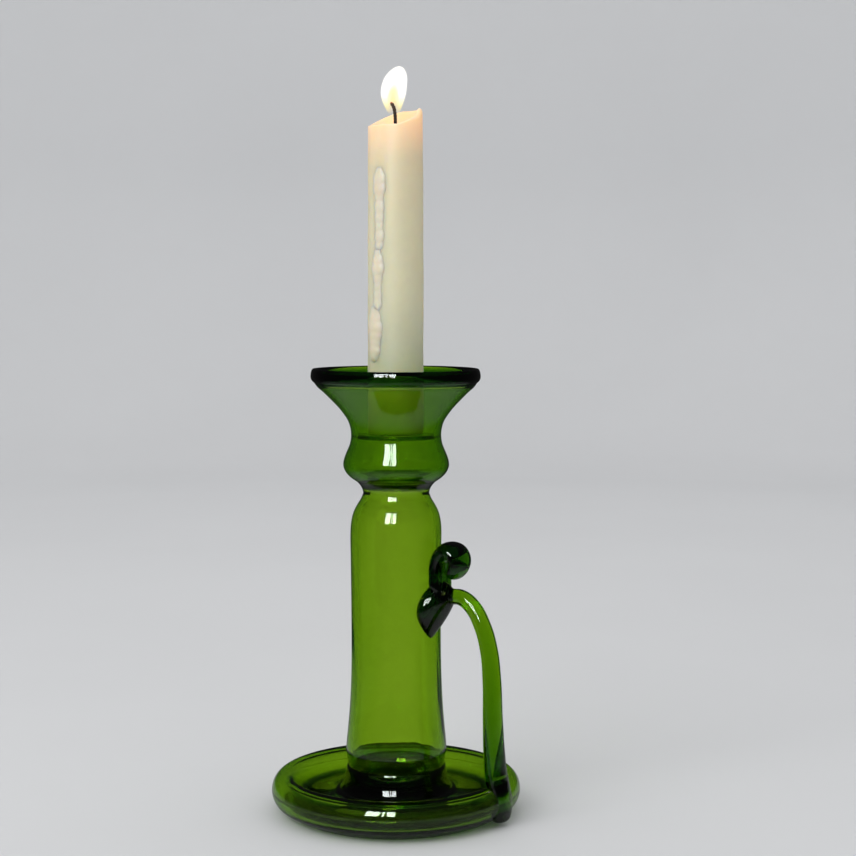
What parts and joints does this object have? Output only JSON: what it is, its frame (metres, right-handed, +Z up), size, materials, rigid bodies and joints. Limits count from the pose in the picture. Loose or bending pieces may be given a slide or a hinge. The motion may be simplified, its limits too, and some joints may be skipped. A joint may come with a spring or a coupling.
{
  "type": "candlestick",
  "caption": "Hand-blown green glass chamber candlestick: rolled-rim drip dish, tall hollow stem, flared cup, side handle with a thumb curl, and a lift-out lit candle.",
  "frame": {"origin": "centre of the foot on the table", "axes": "+Z up along the stem; +X from the stem towards the handle; the handle's plane is Y = 0"},
  "size_m": [0.105, 0.1036, 0.2938],
  "materials": {
    "green_glass": "fire-polished blown soda glass, bottle green",
    "thick_green_glass": "the same green glass where it is solid, nearly black",
    "candle_wax": "pale ivory paraffin and stearin wax, satin",
    "melted_wax": "clear liquid wax",
    "wick_cotton": "charred braided cotton"
  },
  "bodies": {
    "holder": {"foot_shell": "green_glass", "drip_tray": "green_glass", "pontil_scar": "thick_green_glass", "stem_joint": "thick_green_glass", "stem_column": "green_glass", "neck_wafer": "thick_green_glass", "candle_cup": "green_glass", "seat_ledge": "green_glass", "lip_wrap": "thick_green_glass", "handle_seal": "thick_green_glass", "thumb_curl": "thick_green_glass", "handle_strap": "green_glass", "handle_heel": "thick_green_glass"},
    "candle": {"candle_shaft": "candle_wax", "melt_pool": "melted_wax", "wick": "wick_cotton", "wax_run_upper": "candle_wax", "wax_run_lower": "candle_wax", "wax_drop": "candle_wax"}
  },
  "joints": [
    {"name": "candle_lift", "type": "slide", "parent": "holder", "child": "candle", "axis": [0, 0, 1], "range_m": [0, 0.05]}
  ]
}
